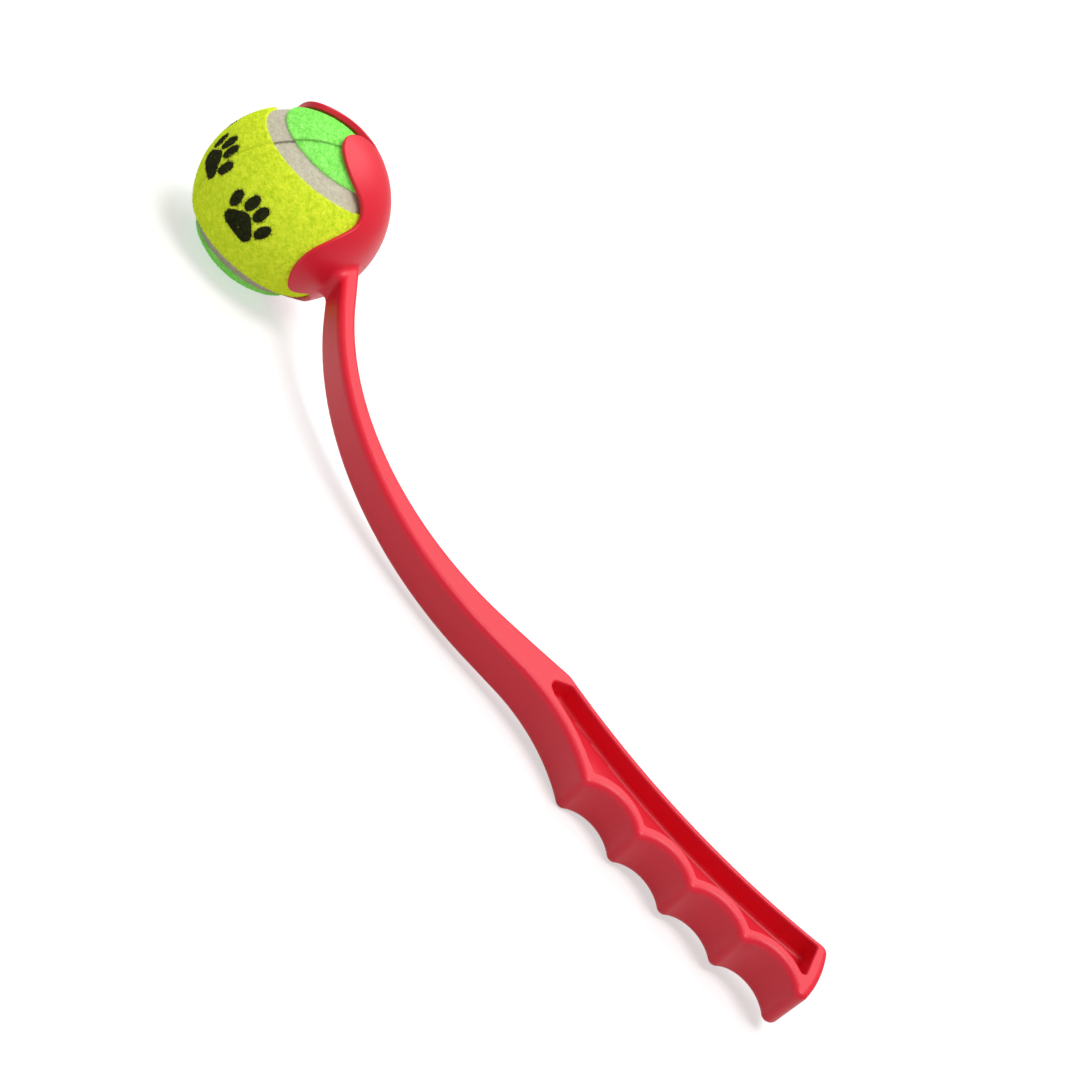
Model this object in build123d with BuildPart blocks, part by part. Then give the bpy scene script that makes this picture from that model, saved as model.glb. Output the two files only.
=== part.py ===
"""A dog ball thrower: a one-piece moulded cup, arm and grip, and the felt ball held in the cup.

Millimetres. The origin is the centre of the ball in its seat. Z is up as the thrower lies on a
table, on one side finger of the cup, the ball and its first finger ridge. X runs along the grip,
from the hand towards the cup.
"""

import os
from math import cos, degrees, radians, sin, sqrt

from build123d import *

os.makedirs("parts", exist_ok=True)

# How the flat of the thrower leans on the table: forwards, and down towards the cup
table_roll = 21.1
table_pitch = 4.4

# Ball
ball_diameter = 62.6
felt_thickness = 2.6
core_wall = 3.6
core_cement = 0.4
seam_width = 6.8
seam_depth = 0.7
seam_turn = 18.3
seam_lean = 1.2
skin_turn = 200.0
felt_edge_round = 0.6
ink_thickness = 0.15

# Paw prints, in a row along the yellow felt
paw_count = 3
paw_spacing = 25.8
first_paw_place = 2.6
paw_row_turn = 8.0
paw_drop = 1.0
paw_climb = 3.2
pad_lobe_size = 5.4
pad_top_size = 5.8
pad_spread = 3.4
pad_drop = 4.7
pad_top_drop = 1.8
toe_width = 3.8
toe_height = 6.5
outer_toe_spread = 7.0
outer_toe_rise = 0.8
outer_toe_lean = 10.0
inner_toe_spread = 2.3
inner_toe_rise = 4.4

# Cup
ball_clearance = 0.9
ball_sag = 0.5
lip_angle = 53.0
cup_wall = 1.8
cup_wall_change = 0.7
thin_wall_angle = 84.0
cup_opening_angle = 43.5
rim_round = 0.5

# Arm
arm_root_angle = 17.8
arm_root_rise = 0.9
arm_root_length = 12.5
arm_root_heading = 60.0
arm_bend_radius = 124.0
neck_width = 6.4
middle_front_width = 3.5
middle_back_width = 4.4
shoulder_width = 11.8
neck_thickness = 13.4
end_thickness = 20.0
edge_round = 2.2
root_round = 3.0

# Grip, measured from the shoulder where the arm's bend ends
shoulder_run = 14.0
shoulder_to_ridge = 53.0
ridge_pitch = 22.5
groove_count = 4
groove_sag = 6.3
ridge_round = 2.6
ridge_reach = 23.9
ridge_rise = 1.8
ridge_bow = 1.5
shoulder_to_heel = 28.0
heel_drop = 7.2
heel_round = 8.0
palm_hollow = 6.0
end_overhang = 4.0
end_back_along = 144.3
end_back_rise = 1.7
end_bow = 1.8
end_round = 3.0

# Recess in each side of the grip
web_thickness = 2.0
ridge_wall = 4.4
palm_wall = 2.8
end_wall = 3.4
recess_tip_lead = 4.6
recess_tip_rise = 8.3
recess_lead_share = 0.3
recess_palm_share = 0.97
recess_corner_round = 1.2
recess_tip_round = 2.5
recess_floor_round = 1.5
mouth_round = 0.7

overrun = 5.0
edge_tolerance = 0.01
centre_tolerance = 0.5

ball_radius = ball_diameter / 2
core_radius = ball_radius - felt_thickness
seat_radius = ball_radius + ball_clearance
cup_radius = seat_radius + cup_wall
arm_root_reach = cup_radius + arm_root_rise
quarter_turn = 90.0
half_turn = 180.0


def heading(angle):
    """Unit vector in the mid plane, turned from the hand's side (-X) towards the front (+Y)."""
    return Vector(-cos(radians(angle)), sin(radians(angle)))


def front_of(angle):
    """Unit vector square to a heading, on its front side."""
    return Vector(sin(radians(angle)), cos(radians(angle)))


# The arm's centre line: a straight root, then one bend back to the grip's direction
arm_root = heading(arm_root_angle) * arm_root_reach
bend_start = arm_root + heading(arm_root_heading) * arm_root_length
bend_centre = bend_start - front_of(arm_root_heading) * arm_bend_radius
shoulder = bend_centre + front_of(0) * arm_bend_radius


def beside_bend(bend_share, distance):
    """Point beside the arm's centre line after a share of its bend, on its front side."""
    angle = arm_root_heading * (1 - bend_share)
    return bend_centre + front_of(angle) * (arm_bend_radius + distance)


def ridge_tip(ridge):
    """Sharp tip of a finger ridge, before it is rounded. The ridges stand on a slight bow."""
    share = ridge / groove_count
    bow = ridge_bow * (1 - (2 * share - 1) ** 2)
    along = shoulder_to_ridge + ridge * ridge_pitch
    return shoulder + Vector(-along, ridge_reach + ridge_rise * share + bow)


def inside(edge, share, wall):
    """Point a wall's thickness inside the grip's outline, beside a point of one of its edges."""
    along = edge % share
    return edge @ share + Vector(-along.Y, along.X) * wall


tips = [ridge_tip(ridge) for ridge in range(groove_count + 1)]
end_front = tips[-1] + Vector(-end_overhang, 0)
end_back = shoulder + Vector(-end_back_along, end_back_rise)
end_middle = (end_front + end_back) / 2 + Vector(-end_bow, 0)
heel = shoulder + Vector(-shoulder_to_heel, -heel_drop)
palm_middle = (heel + end_back) / 2 + Vector(0, palm_hollow)

# The recess's front wall follows the finger grooves on wider arcs
groove_radius = ((ridge_pitch / 2) ** 2 + groove_sag**2) / (2 * groove_sag)
inner_radius = groove_radius + ridge_wall
inner_sag = inner_radius - sqrt(inner_radius**2 - (ridge_pitch / 2) ** 2)
inner_drop = Vector(0, groove_sag + ridge_wall - inner_sag)

# The ball lies nearer to the cup's lip than to the rest of its seat
ball_plane = Plane.XY.rotated((-table_roll, table_pitch, 0))
seat_centre = ball_plane.from_local_coords(heading(lip_angle) * -ball_sag)
mid_plane = Plane(seat_centre, x_dir=ball_plane.x_dir, z_dir=ball_plane.z_dir)
plan_plane = Plane(origin=mid_plane.origin, x_dir=mid_plane.x_dir, z_dir=mid_plane.y_dir)

# Arm and grip, cut to a thickness that grows evenly from the neck to the end
with BuildPart() as wand:
    with BuildSketch(mid_plane):
        with BuildLine():
            front_bend = ThreePointArc(
                beside_bend(0, neck_width / 2),
                beside_bend(0.5, middle_front_width),
                beside_bend(1, shoulder_width / 2),
            )
            back_bend = ThreePointArc(
                beside_bend(0, -neck_width / 2),
                beside_bend(0.5, -middle_back_width),
                beside_bend(1, -shoulder_width / 2),
            )
            root_run = arm_root_length + overrun
            front_root = Line(front_bend @ 0, front_bend @ 0 - (front_bend % 0) * root_run)
            back_root = Line(back_bend @ 0, back_bend @ 0 - (back_bend % 0) * root_run)
            Line(front_root @ 1, back_root @ 1)
            front_run = Line(front_bend @ 1, front_bend @ 1 + (front_bend % 1) * shoulder_run)
            lead = TangentArc(front_run @ 1, tips[0], tangent=front_run % 1)
            for tip, next_tip in zip(tips, tips[1:]):
                ThreePointArc(tip, (tip + next_tip) / 2 - Vector(0, groove_sag), next_tip)
            Line(tips[-1], end_front)
            ThreePointArc(end_front, end_middle, end_back)
            palm_edge = ThreePointArc(end_back, palm_middle, heel)
            TangentArc(back_bend @ 1, heel, tangent=back_bend % 1)
        make_face()
        fillet([vertices().sort_by_distance(tip)[0] for tip in tips], ridge_round)
        fillet([vertices().sort_by_distance(corner)[0] for corner in (end_front, end_back)], end_round)
        fillet(vertices().sort_by_distance(heel)[0], heel_round)
    extrude(amount=end_thickness, both=True)

    with BuildSketch(plan_plane):
        with BuildLine():
            taper = (end_thickness - neck_thickness) / 2 / (bend_start.X - end_middle.X)
            near_half = neck_thickness / 2 - taper * cup_radius
            far_half = end_thickness / 2 + taper * cup_radius
            near_x = bend_start.X + cup_radius
            far_x = end_middle.X - cup_radius
            Polyline(
                (near_x, -near_half), (near_x, near_half), (far_x, far_half), (far_x, -far_half),
                close=True,
            )
        make_face()
    extrude(amount=2 * arm_bend_radius, both=True, mode=Mode.INTERSECT)

    root_end = mid_plane.from_local_coords((front_root @ 1 + back_root @ 1) / 2)
    sides = faces().filter_by(GeomType.PLANE).sort_by(SortBy.AREA)[-2:]
    fillet(sides.edges().sort_by_distance(root_end)[2:], edge_round)

    for side in (1, -1):
        with BuildSketch(mid_plane.offset(side * web_thickness / 2)):
            with BuildLine():
                inner_tips = [tip - inner_drop for tip in tips]
                recess_front = inside(lead, recess_lead_share, ridge_wall)
                lead_middle = inside(lead, (1 + recess_lead_share) / 2, ridge_wall)
                recess_end = end_back + Vector(end_wall, palm_wall)
                recess_back = inside(palm_edge, recess_palm_share, palm_wall)
                recess_tip = heel + Vector(recess_tip_lead, recess_tip_rise)
                ThreePointArc(recess_front, lead_middle, inner_tips[0])
                for tip, next_tip in zip(inner_tips, inner_tips[1:]):
                    ThreePointArc(tip, (tip + next_tip) / 2 - Vector(0, inner_sag), next_tip)
                Line(inner_tips[-1], recess_end)
                ThreePointArc(recess_end, inside(palm_edge, 0.5, palm_wall), recess_back)
                Polyline(recess_back, recess_tip, recess_front)
            make_face()
            corners = vertices().sort_by_distance(recess_tip)
            fillet(corners[0], recess_tip_round)
            fillet(vertices().sort_by_distance(recess_tip)[2:], recess_corner_round)
        extrude(amount=side * end_thickness, mode=Mode.SUBTRACT)
        web_middle = (tips[groove_count // 2] + palm_middle) / 2 + Vector(0, 0, side * web_thickness / 2)
        web_face = faces().sort_by_distance(mid_plane.from_local_coords(web_middle))[0]
        fillet(web_face.edges(), recess_floor_round)
        beside_web = mid_plane.from_local_coords(web_middle + Vector(0, 0, side * end_thickness))
        side_faces = faces().filter_by(lambda face: len(face.inner_wires()) > 0)
        fillet(side_faces.sort_by_distance(beside_web)[0].inner_wires()[0].edges(), mouth_round)

# The cup's rim above and below the mid plane, from its lip round to its top lobe and back, as
# shares of the seat's radius along the arm and square to it. The lip is narrower below.
upper_rim_shares = (
    (-0.604, 0.797), (-0.582, 0.797), (-0.592, 0.734), (-0.650, 0.594), (-0.715, 0.393),
    (-0.724, 0.235), (-0.648, 0.162), (-0.487, 0.155), (-0.294, 0.125), (-0.100, -0.006),
    (-0.048, -0.130), (-0.070, -0.290), (-0.168, -0.445), (-0.264, -0.578), (-0.220, -0.655),
    (-0.050, -0.692), (0.250, -0.675), (0.480, -0.600), (0.580, -0.650),
)
lower_rim_shares = (
    (0.610, -0.780), (0.580, -0.650), (0.480, -0.600), (0.250, -0.675), (-0.050, -0.692),
    (-0.220, -0.655), (-0.264, -0.578), (-0.168, -0.445), (-0.070, -0.290), (-0.048, -0.130),
    (-0.100, -0.006), (-0.294, 0.125), (-0.487, 0.155), (-0.640, 0.170), (-0.755, 0.250),
    (-0.820, 0.370), (-0.835, 0.480), (-0.800, 0.560), (-0.745, 0.630), (-0.680, 0.705),
)


def rim_place(share, side):
    """Point of the rim on the seat, above (side 1) or below (side -1) the mid plane."""
    flat = Vector(*share)
    height = sqrt(max(0.0, 1 - flat.length**2))
    return mid_plane.from_local_coords((flat + Vector(0, 0, side * height)) * seat_radius)


opening = heading(half_turn - cup_opening_angle)
cup_centre = mid_plane.from_local_coords(heading(half_turn - thin_wall_angle) * -cup_wall_change)

# The cup is cut from two spheres along its rim, then rounded in two halves
with BuildPart() as whole_cup:
    with BuildLine() as rim:
        Spline(
            *[rim_place(share, 1) for share in upper_rim_shares],
            *[rim_place(share, -1) for share in lower_rim_shares],
            periodic=True,
        )
    rim_inside = scale(rim.line, by=1 - overrun / seat_radius, mode=Mode.PRIVATE)
    rim_outside = scale(rim.line, by=1 + 2 * overrun / seat_radius, mode=Mode.PRIVATE)
    rim_cut = Face.make_surface_from_curves(rim_inside.edges()[0], rim_outside.edges()[0])
    with Locations(Plane(cup_centre, x_dir=mid_plane.x_dir, z_dir=mid_plane.z_dir)):
        Sphere(cup_radius)
    with Locations(mid_plane):
        Sphere(seat_radius, mode=Mode.SUBTRACT)
    split(bisect_by=mid_plane, keep=Keep.BOTH)
    split(bisect_by=rim_cut, keep=Keep.BOTH)

cup_halves = []
for side in (1, -1):
    half_back = mid_plane.from_local_coords(opening * -cup_radius + Vector(0, 0, side * cup_wall))
    with BuildPart() as cup_half:
        add(whole_cup.solids().sort_by_distance(half_back)[0])
        for centre, radius in ((mid_plane.origin, seat_radius), (cup_centre, cup_radius)):
            rim_edges = edges().filter_by(GeomType.BSPLINE).filter_by(
                lambda edge: abs((edge @ 0.5 - centre).length - radius) < edge_tolerance
            )
            fillet(rim_edges, rim_round)
    cup_halves.append(cup_half.part)

with BuildPart() as thrower:
    add(cup_halves)

    # The arm runs into the back of the cup
    add(wand.part)
    with Locations(mid_plane):
        Sphere(seat_radius, mode=Mode.SUBTRACT)
    root_middle = mid_plane.from_local_coords(arm_root)
    root_edges = edges().filter_by(
        lambda edge: edge.distance_to(root_middle) < neck_thickness
        and abs((edge @ 0.5 - cup_centre).length - cup_radius) < edge_tolerance
    )
    fillet(root_edges, root_round)
thrower.part.label = "thrower"

# The ball's core: two half shells, pressed together along a plane through the opening
core_split = Plane(
    origin=ball_plane.origin,
    x_dir=ball_plane.z_dir,
    z_dir=ball_plane.from_local_coords(front_of(half_turn - cup_opening_angle)) - ball_plane.origin,
)

with BuildPart() as ball_core_half_a:
    with Locations(ball_plane):
        Sphere(core_radius)
        Sphere(core_radius - core_wall, mode=Mode.SUBTRACT)
    split(bisect_by=core_split.offset(-core_cement / 2), keep=Keep.BOTTOM)
ball_core_half_a.part.label = "ball_core_half_a"

with BuildPart() as ball_core_half_b:
    add(ball_core_half_a.part)
    mirror(about=core_split, mode=Mode.REPLACE)
ball_core_half_b.part.label = "ball_core_half_b"

with BuildPart() as core_cement_ring:
    with Locations(ball_plane):
        Sphere(core_radius)
        Sphere(core_radius - core_wall, mode=Mode.SUBTRACT)
    with BuildSketch(core_split):
        Circle(ball_radius)
    extrude(amount=core_cement / 2, both=True, mode=Mode.INTERSECT)
core_cement_ring.part.label = "core_cement_ring"

# The seam runs halfway between two axes of the ball, half a turn about each
seam_plane = ball_plane.rotated((seam_turn, -seam_lean, 0))
section_plane = Plane(
    origin=seam_plane.origin, x_dir=seam_plane.x_dir, z_dir=seam_plane.y_dir * -1
)
lobe_axis = Axis(seam_plane.origin, seam_plane.z_dir)
waist_axis = Axis(seam_plane.origin, seam_plane.x_dir)
panel_swap_axis = Axis(seam_plane.origin, seam_plane.x_dir + seam_plane.z_dir)
seam_half_angle = degrees(seam_width / 2 / ball_radius)
near_seam = quarter_turn / 2 - seam_half_angle
skin_plane = ball_plane.rotated((0, 0, skin_turn))


def wedge(first_angle, last_angle):
    """Closed wedge of a section through the ball, between two angles, to well outside it."""
    rays = [Vector(2 * ball_radius, 0).rotate(Axis.Z, angle) for angle in (first_angle, last_angle)]
    return Polyline((0, 0), *rays, close=True)


with BuildPart() as felt_panel_yellow:
    with Locations(skin_plane):
        Sphere(ball_radius)
        Sphere(core_radius, mode=Mode.SUBTRACT)
    with BuildSketch(section_plane):
        for first_angle, last_angle in ((near_seam, quarter_turn), (-quarter_turn, -near_seam)):
            with BuildLine():
                wedge(first_angle, last_angle)
            make_face()
    revolve(axis=lobe_axis, revolution_arc=half_turn, mode=Mode.SUBTRACT)
    with BuildSketch(section_plane):
        with BuildLine():
            wedge(near_seam, half_turn - near_seam)
        make_face()
    revolve(axis=waist_axis, revolution_arc=half_turn, mode=Mode.SUBTRACT)
    outer_edges = edges().filter_by(
        lambda edge: abs((edge @ 0.5 - ball_plane.origin).length - ball_radius) < edge_tolerance
        and (edge.geom_type != GeomType.CIRCLE or edge.arc_center.length > centre_tolerance)
    )
    fillet(outer_edges, felt_edge_round)
felt_panel_yellow.part.label = "felt_panel_yellow"

# The green panel is the yellow one turned end for end, so the two fit round each other
with BuildPart() as felt_panel_green:
    add(felt_panel_yellow.part.rotate(panel_swap_axis, half_turn))
felt_panel_green.part.label = "felt_panel_green"

# The seam fills the band that both panels leave free, to just below the felt
with BuildPart() as seam_cement:
    with Locations(skin_plane):
        Sphere(ball_radius - seam_depth)
        Sphere(core_radius, mode=Mode.SUBTRACT)
    add(felt_panel_yellow.part, mode=Mode.SUBTRACT)
    add(felt_panel_green.part, mode=Mode.SUBTRACT)
seam_cement.part.label = "seam_cement"

# Paw prints, standing square to a row that climbs a little across the yellow felt
row_plane = seam_plane.rotated((0, -paw_row_turn, 0))
paw_prints = []
for paw in range(paw_count):
    paw_turn = degrees((first_paw_place + paw * paw_spacing) / ball_radius)
    turned_plane = row_plane.rotated((0, 0, -paw_turn))
    paw_plane = Plane(
        origin=turned_plane.from_local_coords((0, core_radius, paw * paw_climb - paw_drop)),
        x_dir=turned_plane.x_dir * -1,
        z_dir=turned_plane.y_dir,
    )
    with BuildPart() as paw_print:
        with BuildSketch(paw_plane):
            with Locations((-pad_spread, -pad_drop), (pad_spread, -pad_drop)):
                Circle(pad_lobe_size / 2)
            with Locations((0, -pad_top_drop)):
                Circle(pad_top_size / 2)
            make_hull()
            for paw_side in (1, -1):
                outer_place = (paw_side * outer_toe_spread, outer_toe_rise)
                with Locations(Location(outer_place, -paw_side * outer_toe_lean)):
                    Ellipse(toe_width / 2, toe_height / 2)
                with Locations((paw_side * inner_toe_spread, inner_toe_rise)):
                    Ellipse(toe_width / 2, toe_height / 2)
        extrude(amount=felt_thickness + overrun)
        with Locations(ball_plane):
            Sphere(ball_radius + ink_thickness, mode=Mode.INTERSECT)
            Sphere(ball_radius, mode=Mode.SUBTRACT)
    paw_print.part.label = f"paw_print_{paw + 1}"
    paw_prints.append(paw_print)

for piece in (
    thrower, ball_core_half_a, ball_core_half_b, core_cement_ring,
    felt_panel_yellow, felt_panel_green, seam_cement, *paw_prints,
):
    export_step(piece.part, f"parts/{piece.part.label}.step")
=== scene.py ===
"""A dog ball thrower lying on its side on a pale floor, with a two-tone felt ball in its cup."""

from math import cos, radians, sin

import bpy
from mathutils import Matrix, Vector


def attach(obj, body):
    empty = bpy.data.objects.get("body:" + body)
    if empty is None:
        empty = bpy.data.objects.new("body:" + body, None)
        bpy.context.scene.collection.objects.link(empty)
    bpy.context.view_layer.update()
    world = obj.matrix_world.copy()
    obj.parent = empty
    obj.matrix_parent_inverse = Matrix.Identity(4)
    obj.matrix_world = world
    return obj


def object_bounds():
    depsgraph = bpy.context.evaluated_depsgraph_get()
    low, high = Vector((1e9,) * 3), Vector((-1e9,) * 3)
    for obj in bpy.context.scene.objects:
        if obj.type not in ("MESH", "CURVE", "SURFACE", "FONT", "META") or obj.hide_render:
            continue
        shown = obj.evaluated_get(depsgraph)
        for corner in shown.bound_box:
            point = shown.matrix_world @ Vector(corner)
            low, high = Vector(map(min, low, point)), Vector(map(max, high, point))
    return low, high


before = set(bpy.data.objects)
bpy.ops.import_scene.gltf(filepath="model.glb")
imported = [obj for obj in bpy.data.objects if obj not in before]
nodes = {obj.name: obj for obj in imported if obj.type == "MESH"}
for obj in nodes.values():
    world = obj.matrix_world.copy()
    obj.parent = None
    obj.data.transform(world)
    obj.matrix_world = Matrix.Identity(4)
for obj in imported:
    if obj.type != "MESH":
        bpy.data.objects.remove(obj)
cad_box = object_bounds()
scene = bpy.context.scene
scene.view_settings.view_transform = "Standard"


# Camera: a long lens, low over the table in front of the thrower and well rolled, so that the
# ball is at the top left of the picture and the grip at the lower right. Its place and turn are
# set out from the thrower's mid plane, which leans as the thrower lies.
table_roll = radians(-21.1)
table_pitch = radians(4.4)
table_turn = Matrix.Rotation(table_roll, 3, "X") @ Matrix.Rotation(table_pitch, 3, "Y")
camera_place = table_turn @ Vector((-0.1301, 0.7530, 0.6572))
camera_right = table_turn @ Vector((-0.7158, -0.4661, 0.5199))
camera_up = table_turn @ Vector((0.6982, -0.4868, 0.5249))
camera_back = camera_right.cross(camera_up)
camera_axes = Matrix((camera_right, camera_up, camera_back)).transposed()
camera_data = bpy.data.cameras.new("camera")
camera_data.lens = 100
camera_data.sensor_width = 36
camera = bpy.data.objects.new("camera", camera_data)
scene.collection.objects.link(camera)
camera.matrix_world = Matrix.Translation(camera_place) @ camera_axes.to_4x4()
scene.camera = camera


# Floor: a wide, plain, pale table top at the height that the thrower lies on. It is a light grey
# that keeps a soft shadow. The camera and the reflections in the plastic see it lifted to white.
def feed(tree, socket, value):
    """Links a socket to the output of another node, or gives it a plain value."""
    if isinstance(value, bpy.types.NodeSocket):
        tree.links.new(value, socket)
    else:
        socket.default_value = value


def calculate(tree, operation, *values):
    """Result of a maths node in a tree, fed with these values."""
    node = tree.nodes.new("ShaderNodeMath")
    node.operation = operation
    for socket, value in zip(node.inputs, values):
        feed(tree, socket, value)
    return node.outputs["Value"]


floor_grey = 0.5
floor_glow = 0.58
floor_reach = 6.0
floor_height = cad_box[0][2]
corner_signs = ((-1, -1), (1, -1), (1, 1), (-1, 1))
floor_corners = [(x * floor_reach, y * floor_reach, floor_height) for x, y in corner_signs]
floor_mesh = bpy.data.meshes.new("floor")
floor_mesh.from_pydata(floor_corners, [], [(0, 1, 2, 3)])
floor = bpy.data.objects.new("floor", floor_mesh)
scene.collection.objects.link(floor)
floor_paint = bpy.data.materials.new("floor_paint")
floor_paint.use_nodes = True
paint_tree = floor_paint.node_tree
paint = paint_tree.nodes["Principled BSDF"]
paint.inputs["Base Color"].default_value = (floor_grey, floor_grey, floor_grey, 1)
paint.inputs["Roughness"].default_value = 0.9
paint.inputs["Specular IOR Level"].default_value = 0.0
paint.inputs["Emission Color"].default_value = (1, 1, 1, 1)
seen_by = paint_tree.nodes.new("ShaderNodeLightPath").outputs
seen_or_mirrored = calculate(paint_tree, "ADD", seen_by["Is Camera Ray"], seen_by["Is Glossy Ray"])
seen_at_all = calculate(paint_tree, "ADD", seen_or_mirrored, seen_by["Is Transmission Ray"])
lift = calculate(paint_tree, "MULTIPLY", seen_at_all, floor_glow)
feed(paint_tree, paint.inputs["Emission Strength"], lift)
floor_mesh.materials.append(floor_paint)


# Light: broad even light from high in front, a soft box behind that puts a sheen on the flat
# upper side, and an even white room. The finger side is left in soft shade.
picture_middle = Vector((-0.13, 0.04, 0.0))
front_place = Vector((-0.35, 0.62, 1.95))
front_lamp = bpy.data.lights.new("front_light", "SUN")
front_lamp.angle = radians(28.0)
front_lamp.energy = 1.9
back_place = Vector((-0.13, -0.54, 1.16))
back_lamp = bpy.data.lights.new("back_light", "AREA")
back_lamp.shape = "DISK"
back_lamp.size = 1.1
back_lamp.energy = 7.5
for lamp, place in ((front_lamp, front_place), (back_lamp, back_place)):
    lamp_object = bpy.data.objects.new(lamp.name, lamp)
    scene.collection.objects.link(lamp_object)
    lamp_turn = (picture_middle - place).to_track_quat("-Z", "Y").to_matrix().to_4x4()
    lamp_object.matrix_world = Matrix.Translation(place) @ lamp_turn
room = bpy.data.worlds.new("room")
room.use_nodes = True
room_light = room.node_tree.nodes["Background"]
room_light.inputs["Color"].default_value = (1, 1, 1, 1)
room_light.inputs["Strength"].default_value = 0.33
scene.world = room


# Thrower: cup, arm and grip are one injection moulding of tough red plastic. It comes out of the
# mould with a soft sheen, a very fine grain and broad clouds in its gloss, and needs no other
# finish. The moulding_marks group makes that grain and those clouds.
marks = bpy.data.node_groups.new("moulding_marks", "ShaderNodeTree")
for socket_name in ("Grain Scale", "Cloud Scale", "Low Roughness", "High Roughness"):
    marks.interface.new_socket(socket_name, in_out="INPUT", socket_type="NodeSocketFloat")
for socket_name in ("Mask", "Roughness", "Height"):
    marks.interface.new_socket(socket_name, in_out="OUTPUT", socket_type="NodeSocketFloat")
marks_in = marks.nodes.new("NodeGroupInput")
marks_out = marks.nodes.new("NodeGroupOutput")
marks_place = marks.nodes.new("ShaderNodeTexCoord").outputs["Object"]
grain = marks.nodes.new("ShaderNodeTexNoise")
clouds = marks.nodes.new("ShaderNodeTexNoise")
for noise, scale_name in ((grain, "Grain Scale"), (clouds, "Cloud Scale")):
    feed(marks, noise.inputs["Vector"], marks_place)
    feed(marks, noise.inputs["Scale"], marks_in.outputs[scale_name])
    noise.inputs["Detail"].default_value = 3.0
gloss = marks.nodes.new("ShaderNodeMapRange")
feed(marks, gloss.inputs["Value"], clouds.outputs["Fac"])
feed(marks, gloss.inputs["To Min"], marks_in.outputs["Low Roughness"])
feed(marks, gloss.inputs["To Max"], marks_in.outputs["High Roughness"])
feed(marks, marks_out.inputs["Mask"], clouds.outputs["Fac"])
feed(marks, marks_out.inputs["Roughness"], gloss.outputs["Result"])
feed(marks, marks_out.inputs["Height"], grain.outputs["Fac"])


def mixed_colour(tree, share, low, high):
    """Output of a mix node between two colours, by a share from 0 to 1."""
    mix = tree.nodes.new("ShaderNodeMix")
    mix.data_type = "RGBA"
    feed(tree, mix.inputs["Factor"], share)
    feed(tree, mix.inputs["A"], low)
    feed(tree, mix.inputs["B"], high)
    return mix.outputs["Result"]


def bump_from(tree, shader, height, depth):
    """Gives a shader a bump of some depth, in metres, from a height of 0 to 1."""
    bump = tree.nodes.new("ShaderNodeBump")
    bump.inputs["Distance"].default_value = depth
    feed(tree, bump.inputs["Height"], height)
    feed(tree, shader.inputs["Normal"], bump.outputs["Normal"])


def moulded(name, low, high, shine, grain_depth, mark_values):
    """Material of a moulded piece: two tones, its shine, and the depth and values of its marks."""
    material = bpy.data.materials.new(name)
    material.use_nodes = True
    tree = material.node_tree
    shader = tree.nodes["Principled BSDF"]
    shader.inputs["Specular IOR Level"].default_value = shine
    group = tree.nodes.new("ShaderNodeGroup")
    group.node_tree = marks
    for mark_name, value in mark_values.items():
        group.inputs[mark_name].default_value = value
    feed(tree, shader.inputs["Base Color"], mixed_colour(tree, group.outputs["Mask"], low, high))
    feed(tree, shader.inputs["Roughness"], group.outputs["Roughness"])
    bump_from(tree, shader, group.outputs["Height"], grain_depth)
    return material


def finish_node(name, material):
    """Gives a piece of the fixed frame one material all over."""
    node_materials = nodes[name].data.materials
    node_materials.clear()
    node_materials.append(material)


red_plastic = moulded(
    "red_plastic",
    low=(0.74, 0.009, 0.028, 1),
    high=(0.84, 0.013, 0.040, 1),
    shine=0.45,
    grain_depth=0.00002,
    mark_values={
        "Grain Scale": 1500.0,
        "Cloud Scale": 28.0,
        "Low Roughness": 0.36,
        "High Roughness": 0.48,
    },
)
finish_node("thrower", red_plastic)


# Ball core: two half shells of black moulded rubber, cemented edge to edge, which lie out of
# sight under the felt. The cement is a little greyer than the rubber.
rubber = moulded(
    "core_rubber",
    low=(0.030, 0.030, 0.030, 1),
    high=(0.055, 0.053, 0.050, 1),
    shine=0.35,
    grain_depth=0.00005,
    mark_values={
        "Grain Scale": 900.0,
        "Cloud Scale": 60.0,
        "Low Roughness": 0.60,
        "High Roughness": 0.80,
    },
)
cement = moulded(
    "core_cement",
    low=(0.090, 0.080, 0.065, 1),
    high=(0.140, 0.125, 0.100, 1),
    shine=0.25,
    grain_depth=0.00008,
    mark_values={
        "Grain Scale": 1200.0,
        "Cloud Scale": 120.0,
        "Low Roughness": 0.65,
        "High Roughness": 0.85,
    },
)
finish_node("ball_core_half_a", rubber)
finish_node("ball_core_half_b", rubber)
finish_node("core_cement_ring", cement)


# Felt: short wool cloth, cemented over the core and mottled where its nap is pressed. The joint
# of the core shows through as a thin crease right round the ball, past the middle of the
# opening: a shallow groove, with painted shade darkening the colour along it. The felt_marks
# group makes the mottle and the crease.
crease_angle = radians(43.5)
crease_normal = table_turn @ Vector((-sin(crease_angle), cos(crease_angle), 0))
crease_width = 0.0009
crease_wander = 0.0008
mottle_scale = 620.0
felt_depth = 0.0003
patch_share = 0.4
# Painted glow: both felts give off a little light of their own colour, whatever the lamps
felt_painted_glow = 0.16
felt_marks = bpy.data.node_groups.new("felt_marks", "ShaderNodeTree")
for socket_name in ("Mottle Scale", "Crease Width", "Crease Depth"):
    felt_marks.interface.new_socket(socket_name, in_out="INPUT", socket_type="NodeSocketFloat")
for socket_name in ("Mottle", "Crease", "Height"):
    felt_marks.interface.new_socket(socket_name, in_out="OUTPUT", socket_type="NodeSocketFloat")
felt_in = felt_marks.nodes.new("NodeGroupInput")
felt_out = felt_marks.nodes.new("NodeGroupOutput")
felt_place = felt_marks.nodes.new("ShaderNodeTexCoord").outputs["Object"]
mottle = felt_marks.nodes.new("ShaderNodeTexNoise")
feed(felt_marks, mottle.inputs["Vector"], felt_place)
feed(felt_marks, mottle.inputs["Scale"], felt_in.outputs["Mottle Scale"])
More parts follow.
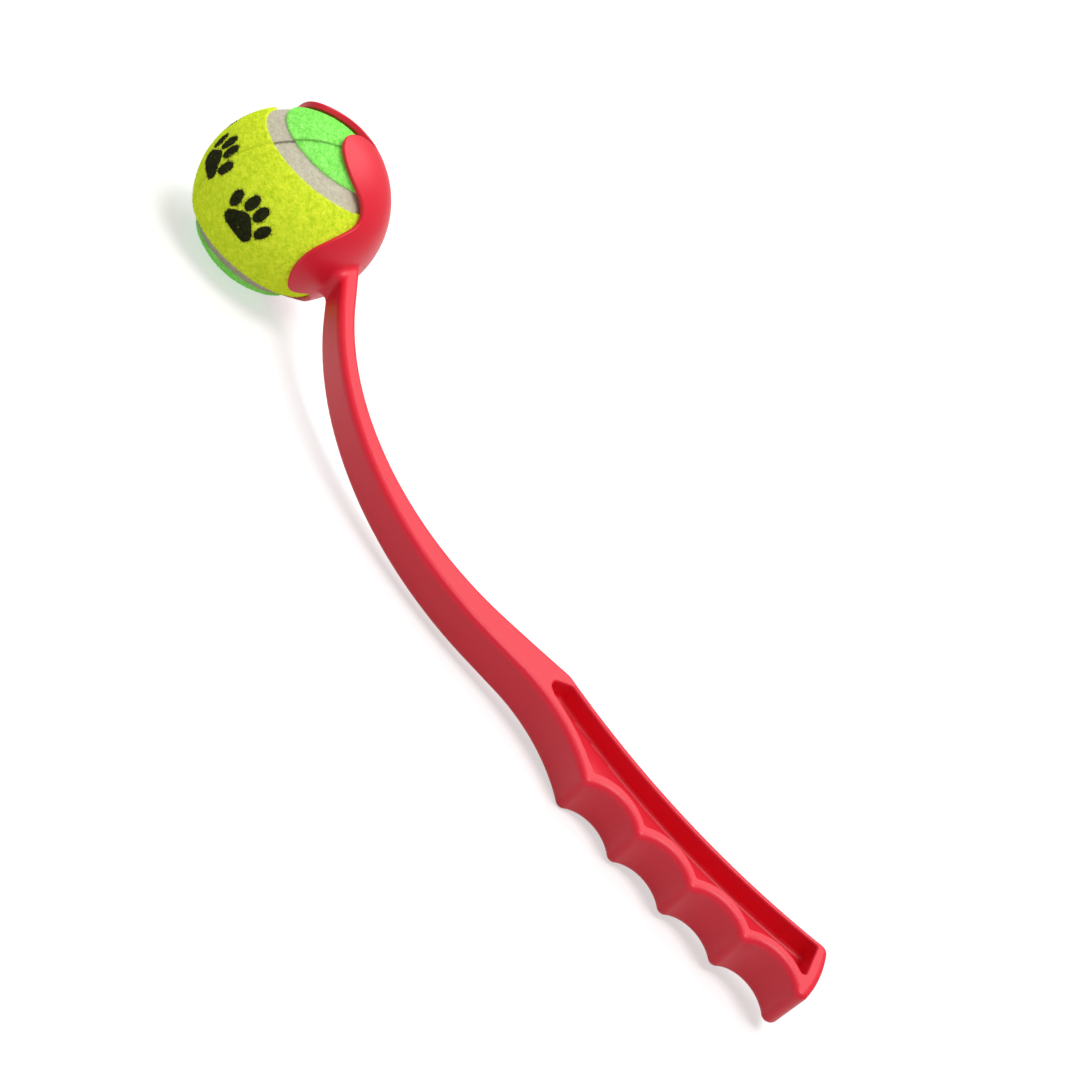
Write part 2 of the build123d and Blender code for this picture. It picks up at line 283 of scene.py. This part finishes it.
mottle.inputs["Detail"].default_value = 5.0
mottle.inputs["Roughness"].default_value = 0.65
mottle_range = felt_marks.nodes.new("ShaderNodeMapRange")
feed(felt_marks, mottle_range.inputs["Value"], mottle.outputs["Fac"])
mottle_range.inputs["From Min"].default_value = 0.32
mottle_range.inputs["From Max"].default_value = 0.68
beside_crease = felt_marks.nodes.new("ShaderNodeVectorMath")
beside_crease.operation = "DOT_PRODUCT"
feed(felt_marks, beside_crease.inputs[0], felt_place)
feed(felt_marks, beside_crease.inputs[1], crease_normal)
ragged = calculate(felt_marks, "MULTIPLY_ADD", mottle.outputs["Fac"], crease_wander, -crease_wander / 2)
crease_offset = calculate(felt_marks, "ADD", beside_crease.outputs["Value"], ragged)
crease_distance = calculate(felt_marks, "ABSOLUTE", crease_offset)
crease_share = calculate(felt_marks, "DIVIDE", crease_distance, felt_in.outputs["Crease Width"])
beyond_crease = calculate(felt_marks, "MINIMUM", crease_share, 1.0)
crease_mask = calculate(felt_marks, "SUBTRACT", 1.0, beyond_crease)
# The crease mask sinks a groove into the height and, in the skins, mixes painted shade into the colour
crease = calculate(felt_marks, "MULTIPLY", crease_mask, felt_in.outputs["Crease Depth"])
felt_height = calculate(felt_marks, "SUBTRACT", mottle_range.outputs["Result"], crease)
feed(felt_marks, felt_out.inputs["Mottle"], mottle_range.outputs["Result"])
feed(felt_marks, felt_out.inputs["Crease"], crease)
feed(felt_marks, felt_out.inputs["Height"], felt_height)


def ball_skin(name, low, high, painted_crease_shade, crease_depth_and_shade, painted_glow=0.0, nap_tones=False):
    """Matt skin of the ball from its pressed and raised colours, with painted shade along the
    crease and, for the bright felts, a little painted glow in its own colour. Nap adds each
    fibre's own tone, and has no bump."""
    material = bpy.data.materials.new(name)
    material.use_nodes = True
    tree = material.node_tree
    shader = tree.nodes["Principled BSDF"]
    shader.inputs["Roughness"].default_value = 0.95
    shader.inputs["Specular IOR Level"].default_value = 0.08
    shader.inputs["Sheen Weight"].default_value = 0.35
    shader.inputs["Sheen Roughness"].default_value = 0.6
    shader.inputs["Sheen Tint"].default_value = high
    # Painted glow: the skin gives off light at this strength
    shader.inputs["Emission Strength"].default_value = painted_glow
    group = tree.nodes.new("ShaderNodeGroup")
    group.node_tree = felt_marks
    group.inputs["Mottle Scale"].default_value = mottle_scale
    group.inputs["Crease Width"].default_value = crease_width
    group.inputs["Crease Depth"].default_value = crease_depth_and_shade
    tone = group.outputs["Mottle"]
    if nap_tones:
        fibre_tone = tree.nodes.new("ShaderNodeAttribute")
        fibre_tone.attribute_name = "tone"
        patches = calculate(tree, "MULTIPLY", tone, patch_share)
        tone = calculate(tree, "MULTIPLY_ADD", fibre_tone.outputs["Fac"], 1 - patch_share, patches)
    plain = mixed_colour(tree, tone, low, high)
    # Painted shade: the colour is darkened along the crease
    colour = mixed_colour(tree, group.outputs["Crease"], plain, painted_crease_shade)
    feed(tree, shader.inputs["Base Color"], colour)
    # The painted glow takes the skin's own colour
    feed(tree, shader.inputs["Emission Color"], colour)
    if not nap_tones:
        bump_from(tree, shader, group.outputs["Height"], felt_depth)
    return material


# Yellow felt: one dumbbell-shaped piece of bright yellow-green cloth, cemented to the core. The
# crease's painted shade only just shows in it.
yellow_dye_and_painted_light = {
    "low": (0.52, 0.70, 0.014, 1),
    "high": (0.94, 1.0, 0.075, 1),
    "painted_crease_shade": (0.46, 0.58, 0.012, 1),
    "crease_depth_and_shade": 0.45,
    "painted_glow": felt_painted_glow,
}
finish_node("felt_panel_yellow", ball_skin("yellow_felt", **yellow_dye_and_painted_light))


# Green felt: the same shape in bright grass green, turned end for end round the yellow. The
# crease cuts a dark line of painted shade across it.
green_dye_and_painted_light = {
    "low": (0.20, 0.74, 0.090, 1),
    "high": (0.48, 1.0, 0.27, 1),
    "painted_crease_shade": (0.08, 0.34, 0.04, 1),
    "crease_depth_and_shade": 0.85,
    "painted_glow": felt_painted_glow,
}
finish_node("felt_panel_green", ball_skin("green_felt", **green_dye_and_painted_light))


# Seam: the beige cement that fills the band between the two felts, set a little below them. It is
# as matt as they are, with painted shade dark along it where the crease crosses it.
seam_finish = ball_skin(
    "seam",
    low=(0.62, 0.56, 0.42, 1),
    high=(0.76, 0.71, 0.56, 1),
    painted_crease_shade=(0.07, 0.065, 0.03, 1),
    crease_depth_and_shade=0.9,
)
finish_node("seam_cement", seam_finish)


# Paw prints: near-black ink printed on the yellow felt, a broad pad and four toes each, which
# soaks into the cloth and stays as matt as it.
ink_low = (0.010, 0.014, 0.004, 1)
ink_high = (0.045, 0.052, 0.016, 1)
ink_dye = {"low": ink_low, "high": ink_high, "painted_crease_shade": ink_low, "crease_depth_and_shade": 0.0}
ink = ball_skin("paw_ink", **ink_dye)
print_names = ("paw_print_1", "paw_print_2", "paw_print_3")
for name in print_names:
    finish_node(name, ink)


# Nap: the loose ends of the wool, which stand up from both felts and lean every way in small
# swirls. They stop short of the cup, and over the prints they are dyed by the ink. The felt_nap
# tree grows them on a copy of a felt.
nap_tree = bpy.data.node_groups.new("felt_nap", "GeometryNodeTree")
nap_sockets = {}
for socket_name, socket_kind in (
    ("Felt", "NodeSocketGeometry"),
    ("Cup", "NodeSocketObject"),
    ("Prints", "NodeSocketObject"),
    ("On Prints", "NodeSocketBool"),
    ("Ball Radius", "NodeSocketFloat"),
    ("Density", "NodeSocketFloat"),
    ("Length", "NodeSocketFloat"),
    ("Width", "NodeSocketFloat"),
    ("Seed", "NodeSocketInt"),
    ("Finish", "NodeSocketMaterial"),
):
    socket = nap_tree.interface.new_socket(socket_name, in_out="INPUT", socket_type=socket_kind)
    nap_sockets[socket_name] = socket.identifier
nap_tree.interface.new_socket("Nap", in_out="OUTPUT", socket_type="NodeSocketGeometry")
nap_in = nap_tree.nodes.new("NodeGroupInput").outputs
nap_out = nap_tree.nodes.new("NodeGroupOutput")
nap_place = nap_tree.nodes.new("GeometryNodeInputPosition").outputs["Position"]


def combine(operation, *values):
    """Vector maths node in the nap's tree, fed with these values."""
    node = nap_tree.nodes.new("ShaderNodeVectorMath")
    node.operation = operation
    for socket, value in zip(node.inputs, values):
        feed(nap_tree, socket, value)
    return node


def chance(kind, low, high, seed_step):
    """Random value of a kind for each fibre, between two limits."""
    node = nap_tree.nodes.new("FunctionNodeRandomValue")
    node.data_type = kind
    low_socket, high_socket = [
        socket for socket in node.inputs if socket.enabled and socket.name in ("Min", "Max")
    ]
    feed(nap_tree, low_socket, low)
    feed(nap_tree, high_socket, high)
    feed(nap_tree, node.inputs["Seed"], calculate(nap_tree, "ADD", nap_in["Seed"], seed_step))
    return next(socket for socket in node.outputs if socket.enabled)


def nap_noise(scale):
    """Outputs of a noise texture at some scale, at each fibre's foot."""
    node = nap_tree.nodes.new("ShaderNodeTexNoise")
    node.inputs["Scale"].default_value = scale
    feed(nap_tree, node.inputs["Vector"], nap_place)
    return node.outputs


# The roots lie all over the outside of the felt, down to a little way round its edges
skin_depth = 0.0004
least_outward = 0.5
face_normal = nap_tree.nodes.new("GeometryNodeInputNormal").outputs["Normal"]
radial = combine("NORMALIZE", nap_place).outputs["Vector"]
outward = combine("DOT_PRODUCT", face_normal, radial).outputs["Value"]
faces_out = calculate(nap_tree, "GREATER_THAN", outward, least_outward)
from_centre = calculate(nap_tree, "ADD", combine("LENGTH", nap_place).outputs["Value"], skin_depth)
on_skin = calculate(nap_tree, "GREATER_THAN", from_centre, nap_in["Ball Radius"])
roots = nap_tree.nodes.new("GeometryNodeDistributePointsOnFaces")
feed(nap_tree, roots.inputs["Mesh"], nap_in["Felt"])
feed(nap_tree, roots.inputs["Selection"], calculate(nap_tree, "MULTIPLY", on_skin, faces_out))
feed(nap_tree, roots.inputs["Density"], nap_in["Density"])
feed(nap_tree, roots.inputs["Seed"], nap_in["Seed"])
root_normal = roots.outputs["Normal"]

# Roots are kept on the prints or off them. A print's edge is ragged, as ink creeps along the wool
creep_scale = 900.0
creep_spread = 0.0015
creep_drop = 0.0004
prints_shape = nap_tree.nodes.new("GeometryNodeObjectInfo")
feed(nap_tree, prints_shape.inputs["Object"], nap_in["Prints"])
to_print = nap_tree.nodes.new("GeometryNodeProximity")
feed(nap_tree, to_print.inputs[0], prints_shape.outputs["Geometry"])
creep_noise = nap_noise(creep_scale)["Fac"]
creep = calculate(nap_tree, "MULTIPLY_ADD", creep_noise, creep_spread, -creep_drop)
on_ink = calculate(nap_tree, "LESS_THAN", to_print.outputs["Distance"], creep)
wrong_side = nap_tree.nodes.new("FunctionNodeBooleanMath")
wrong_side.operation = "XOR"
feed(nap_tree, wrong_side.inputs[0], on_ink)
feed(nap_tree, wrong_side.inputs[1], nap_in["On Prints"])
kept_roots = nap_tree.nodes.new("GeometryNodeDeleteGeometry")
feed(nap_tree, kept_roots.inputs["Geometry"], roots.outputs["Points"])
feed(nap_tree, kept_roots.inputs["Selection"], wrong_side.outputs["Boolean"])

# A fibre is shorter where the cup lies close over it
look_reach = 0.003
free_share = 0.8
shortest = 0.6
longest = 1.2
cup_shape = nap_tree.nodes.new("GeometryNodeObjectInfo")
feed(nap_tree, cup_shape.inputs["Object"], nap_in["Cup"])
room_above = nap_tree.nodes.new("GeometryNodeRaycast")
feed(nap_tree, room_above.inputs["Target Geometry"], cup_shape.outputs["Geometry"])
feed(nap_tree, room_above.inputs["Source Position"], nap_place)
feed(nap_tree, room_above.inputs["Ray Direction"], root_normal)
feed(nap_tree, room_above.inputs["Ray Length"], look_reach)
under_cup = room_above.outputs["Is Hit"]
in_open = calculate(nap_tree, "SUBTRACT", 1.0, under_cup)
open_reach = calculate(nap_tree, "MULTIPLY", in_open, look_reach)
hit_reach = calculate(nap_tree, "MULTIPLY", room_above.outputs["Hit Distance"], under_cup)
reach = calculate(nap_tree, "ADD", open_reach, hit_reach)
free_reach = calculate(nap_tree, "MULTIPLY", reach, free_share)
free_part = calculate(nap_tree, "DIVIDE", free_reach, nap_in["Length"])
own_part = chance("FLOAT", shortest, longest, seed_step=1)
stand_part = calculate(nap_tree, "MINIMUM", free_part, own_part)

# The fibres are three-sided spikes that lean over, each lot in its own swirl
swirl_scale = 300.0
swirl_middle = (0.5, 0.5, 0.5)
swirl_strength = (5.0, 5.0, 5.0)
least_lean = 0.8
most_lean = 1.35
swirl = combine("SUBTRACT", nap_noise(swirl_scale)["Color"], swirl_middle).outputs["Vector"]
own_way = chance("FLOAT_VECTOR", (-1.0, -1.0, -1.0), (1.0, 1.0, 1.0), seed_step=2)
sideways = combine("MULTIPLY_ADD", swirl, swirl_strength, own_way).outputs["Vector"]
across = combine("CROSS_PRODUCT", root_normal, sideways).outputs["Vector"]
lean_way = combine("NORMALIZE", across).outputs["Vector"]
lean = chance("FLOAT", least_lean, most_lean, seed_step=3)
upright = combine("SCALE", root_normal)
feed(nap_tree, upright.inputs["Scale"], calculate(nap_tree, "COSINE", lean))
leaning = combine("SCALE", lean_way)
feed(nap_tree, leaning.inputs["Scale"], calculate(nap_tree, "SINE", lean))
fibre_way = combine("ADD", upright.outputs["Vector"], leaning.outputs["Vector"]).outputs["Vector"]
fibre_turn = nap_tree.nodes.new("FunctionNodeAlignRotationToVector")
fibre_turn.axis = "Z"
feed(nap_tree, fibre_turn.inputs["Vector"], fibre_way)
fibre = nap_tree.nodes.new("GeometryNodeMeshCone")
fibre.inputs["Vertices"].default_value = 3
fibre.inputs["Radius Top"].default_value = 0.0
feed(nap_tree, fibre.inputs["Radius Bottom"], calculate(nap_tree, "DIVIDE", nap_in["Width"], 2.0))
feed(nap_tree, fibre.inputs["Depth"], nap_in["Length"])
fibre_size = nap_tree.nodes.new("ShaderNodeCombineXYZ")
fibre_size.inputs["X"].default_value = 1.0
fibre_size.inputs["Y"].default_value = 1.0
feed(nap_tree, fibre_size.inputs["Z"], stand_part)
fibres = nap_tree.nodes.new("GeometryNodeInstanceOnPoints")
feed(nap_tree, fibres.inputs["Points"], kept_roots.outputs["Geometry"])
feed(nap_tree, fibres.inputs["Instance"], fibre.outputs["Mesh"])
feed(nap_tree, fibres.inputs["Rotation"], fibre_turn.outputs["Rotation"])
feed(nap_tree, fibres.inputs["Scale"], fibre_size.outputs["Vector"])

# Each fibre takes the dye a little differently, and so does each patch of cloth
patch_scale = 220.0
patch_tone = calculate(nap_tree, "MULTIPLY", nap_noise(patch_scale)["Fac"], patch_share)
fibre_chance = chance("FLOAT", 0.0, 1.0, seed_step=4)
own_tone = calculate(nap_tree, "MULTIPLY_ADD", fibre_chance, 1 - patch_share, patch_tone)
toned = nap_tree.nodes.new("GeometryNodeStoreNamedAttribute")
toned.data_type = "FLOAT"
toned.domain = "INSTANCE"
toned.inputs["Name"].default_value = "tone"
feed(nap_tree, toned.inputs["Geometry"], fibres.outputs["Instances"])
feed(nap_tree, toned.inputs["Value"], own_tone)
real_fibres = nap_tree.nodes.new("GeometryNodeRealizeInstances")
feed(nap_tree, real_fibres.inputs["Geometry"], toned.outputs["Geometry"])
coloured = nap_tree.nodes.new("GeometryNodeSetMaterial")
feed(nap_tree, coloured.inputs["Geometry"], real_fibres.outputs["Geometry"])
feed(nap_tree, coloured.inputs["Material"], nap_in["Finish"])
feed(nap_tree, nap_out.inputs["Nap"], coloured.outputs["Geometry"])

# All the prints in one mesh, which only shows the tree where the ink is
prints_vertices = []
prints_faces = []
for name in print_names:
    first_vertex = len(prints_vertices)
    prints_vertices.extend(vertex.co for vertex in nodes[name].data.vertices)
    for polygon in nodes[name].data.polygons:
        prints_faces.append([first_vertex + index for index in polygon.vertices])
prints_mesh = bpy.data.meshes.new("prints_outline")
prints_mesh.from_pydata(prints_vertices, [], prints_faces)
prints_outline = bpy.data.objects.new("prints_outline", prints_mesh)
scene.collection.objects.link(prints_outline)

nap_values = {
    "Cup": nodes["thrower"],
    "Prints": prints_outline,
    "Ball Radius": 0.0313,
    "Density": 8300000.0,
    "Length": 0.0008,
    "Width": 0.00022,
}


def grow_nap(name, felt, finish, seed, on_prints=False):
    """One piece of nap, grown on a copy of a felt that is removed once the nap is a plain mesh."""
    base_mesh = nodes[felt].data.copy()
    base = bpy.data.objects.new("nap_base", base_mesh)
    scene.collection.objects.link(base)
    grower = base.modifiers.new("felt_nap", "NODES")
    grower.node_group = nap_tree
    for value_name, value in nap_values.items():
        grower[nap_sockets[value_name]] = value
    grower[nap_sockets["On Prints"]] = on_prints
    grower[nap_sockets["Seed"]] = seed
    grower[nap_sockets["Finish"]] = finish
    grown = base.evaluated_get(bpy.context.evaluated_depsgraph_get())
    nap_mesh = bpy.data.meshes.new_from_object(grown)
    nap_mesh.name = name
    nap = bpy.data.objects.new(name, nap_mesh)
    scene.collection.objects.link(nap)
    bpy.data.objects.remove(base)
    bpy.data.meshes.remove(base_mesh)
    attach(nap, "ball")


yellow_nap = ball_skin("yellow_nap", **yellow_dye_and_painted_light, nap_tones=True)
green_nap = ball_skin("green_nap", **green_dye_and_painted_light, nap_tones=True)
ink_nap = ball_skin("ink_nap", **ink_dye, nap_tones=True)
grow_nap("nap_yellow", "felt_panel_yellow", yellow_nap, seed=11)
grow_nap("nap_green", "felt_panel_green", green_nap, seed=12)
grow_nap("nap_ink", "felt_panel_yellow", ink_nap, seed=13, on_prints=True)
bpy.data.objects.remove(prints_outline)
bpy.data.meshes.remove(prints_mesh)
